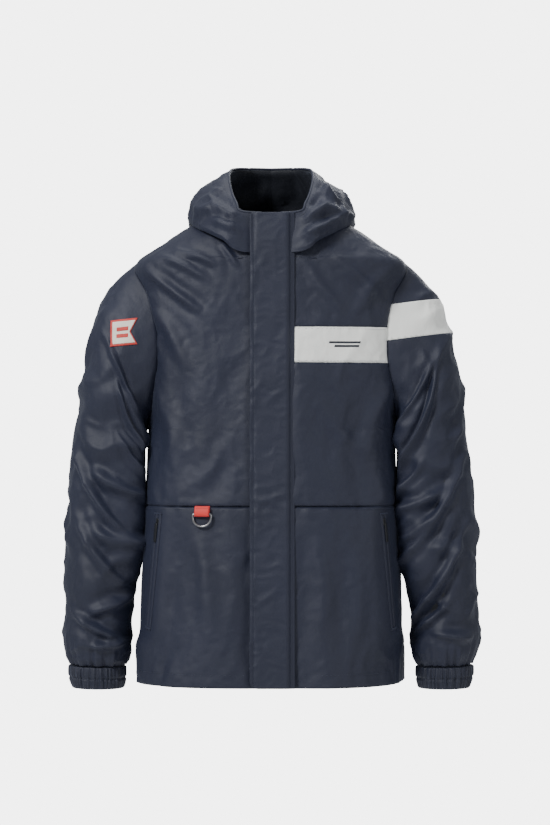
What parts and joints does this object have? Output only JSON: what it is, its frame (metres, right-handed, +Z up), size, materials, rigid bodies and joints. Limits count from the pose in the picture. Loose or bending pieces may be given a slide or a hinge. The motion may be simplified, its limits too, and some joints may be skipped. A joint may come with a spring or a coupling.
{
  "type": "foul weather jacket",
  "caption": "Hooded waterproof sailing jacket with storm flap over a front zip, zipped hand pockets, elastic cuffs, a white chest band and a ring on a red tab.",
  "frame": {"origin": "centre of the neck at the height where the wearer's shoulders or a hanger carry the jacket", "axes": "+Z up along the body; the front faces -Y; the wearer's left is +X"},
  "size_m": [0.6178, 0.3426, 0.7817],
  "materials": {
    "shell_fabric": "dark navy woven outer cloth with a faint satin sheen",
    "white_fabric": "off-white woven outer cloth",
    "badge_fabric": "off-white patch with a red edge",
    "lining_fabric": "near-black matte lining cloth",
    "zip_plastic": "black moulded plastic",
    "zip_tape": "black woven tape",
    "steel": "dull gun-metal steel",
    "red_webbing": "red woven webbing",
    "label": "dark woven label, blank"
  },
  "bodies": {
    "shell": {"back_lower_panel": "shell_fabric", "back_upper_panel": "shell_fabric", "chest_stripe": "white_fabric", "collar_left": "shell_fabric", "collar_right": "shell_fabric", "front_left_lower_panel": "shell_fabric", "front_left_middle_panel": "shell_fabric", "front_left_upper_panel": "shell_fabric", "front_right_lower_panel": "shell_fabric", "front_right_upper_panel": "shell_fabric", "hanger_loop": "zip_tape", "lining_back": "lining_fabric", "lining_front_left": "lining_fabric", "lining_front_right": "lining_fabric", "neck_label": "label", "pocket_bag_left": "lining_fabric", "pocket_bag_right": "lining_fabric", "pocket_zip_left_front": "zip_tape", "pocket_zip_left_rear": "zip_tape", "pocket_zip_right_front": "zip_tape", "pocket_zip_right_rear": "zip_tape", "press_stud_1": "steel", "press_stud_2": "steel", "press_stud_3": "steel", "press_stud_4": "steel", "ring_tab": "red_webbing", "zip_retainer_box": "zip_plastic", "zip_tape_left": "zip_tape", "zip_tape_right": "zip_tape", "zip_teeth_left": "zip_plastic", "zip_teeth_right": "zip_plastic", "zip_top_stop_left": "zip_plastic", "zip_top_stop_right": "zip_plastic"},
    "storm_flap": {"storm_flap": "shell_fabric", "stud_socket_1": "steel", "stud_socket_2": "steel", "stud_socket_3": "steel", "stud_socket_4": "steel"},
    "zip_slider": {"zip_slider": "zip_plastic", "zip_pull_tab": "zip_plastic"},
    "pocket_slider_left": {"pocket_slider_left": "zip_plastic"},
    "pocket_pull_left": {"pocket_pull_left": "zip_plastic"},
    "pocket_slider_right": {"pocket_slider_right": "zip_plastic"},
    "pocket_pull_right": {"pocket_pull_right": "zip_plastic"},
    "d_ring": {"d_ring": "steel"},
    "sleeve_left": {"sleeve_left": "shell_fabric", "sleeve_left_cap": "shell_fabric", "sleeve_stripe": "white_fabric", "sleeve_lining_left": "lining_fabric", "cuff_left": "shell_fabric", "cuff_elastic_left": "zip_tape"},
    "sleeve_right": {"sleeve_right": "shell_fabric", "sleeve_lining_right": "lining_fabric", "cuff_right": "shell_fabric", "cuff_elastic_right": "zip_tape", "sleeve_badge": "badge_fabric"},
    "hood": {"hood_left_panel": "shell_fabric", "hood_centre_panel": "shell_fabric", "hood_right_panel": "shell_fabric", "hood_lining": "lining_fabric"}
  },
  "joints": [
    {"name": "storm_flap_open", "type": "hinge", "parent": "shell", "child": "storm_flap", "pos_m": [0.031, -0.13825, -0.41046], "axis": [0, 0.0713, 0.9975], "range_deg": [0, 110]},
    {"name": "front_zip_slide", "type": "slide", "parent": "shell", "child": "zip_slider", "axis": [0, -0.0713, -0.9975], "range_m": [0, 0.62]},
    {"name": "pocket_slide_left", "type": "slide", "parent": "shell", "child": "pocket_slider_left", "axis": [0.091, 0.0351, -0.9952], "range_m": [0, 0.147]},
    {"name": "pocket_pull_swing_left", "type": "hinge", "parent": "pocket_slider_left", "child": "pocket_pull_left", "pos_m": [0.16805, -0.09285, -0.43632], "axis": [-0.5979, -0.7973, -0.0828], "range_deg": [0, 120]},
    {"name": "sleeve_lift_left", "type": "hinge", "parent": "shell", "child": "sleeve_left", "pos_m": [0.2025, 0, -0.05], "axis": [0, -1, 0], "range_deg": [0, 35]},
    {"name": "pocket_slide_right", "type": "slide", "parent": "shell", "child": "pocket_slider_right", "axis": [-0.091, 0.0351, -0.9952], "range_m": [0, 0.147]},
    {"name": "pocket_pull_swing_right", "type": "hinge", "parent": "pocket_slider_right", "child": "pocket_pull_right", "pos_m": [-0.16805, -0.09285, -0.43632], "axis": [-0.5979, 0.7973, 0.0828], "range_deg": [0, 120]},
    {"name": "sleeve_lift_right", "type": "hinge", "parent": "shell", "child": "sleeve_right", "pos_m": [-0.2025, 0, -0.05], "axis": [0, 1, 0], "range_deg": [0, 35]},
    {"name": "ring_swing", "type": "hinge", "parent": "shell", "child": "d_ring", "pos_m": [-0.10004, -0.12904, -0.42167], "axis": [-0.9786, 0.2058, 0], "range_deg": [0, 150]},
    {"name": "hood_raise", "type": "hinge", "parent": "shell", "child": "hood", "pos_m": [0, 0.006, 0.1], "axis": [1, 0, 0], "range_deg": [0, 60]}
  ]
}
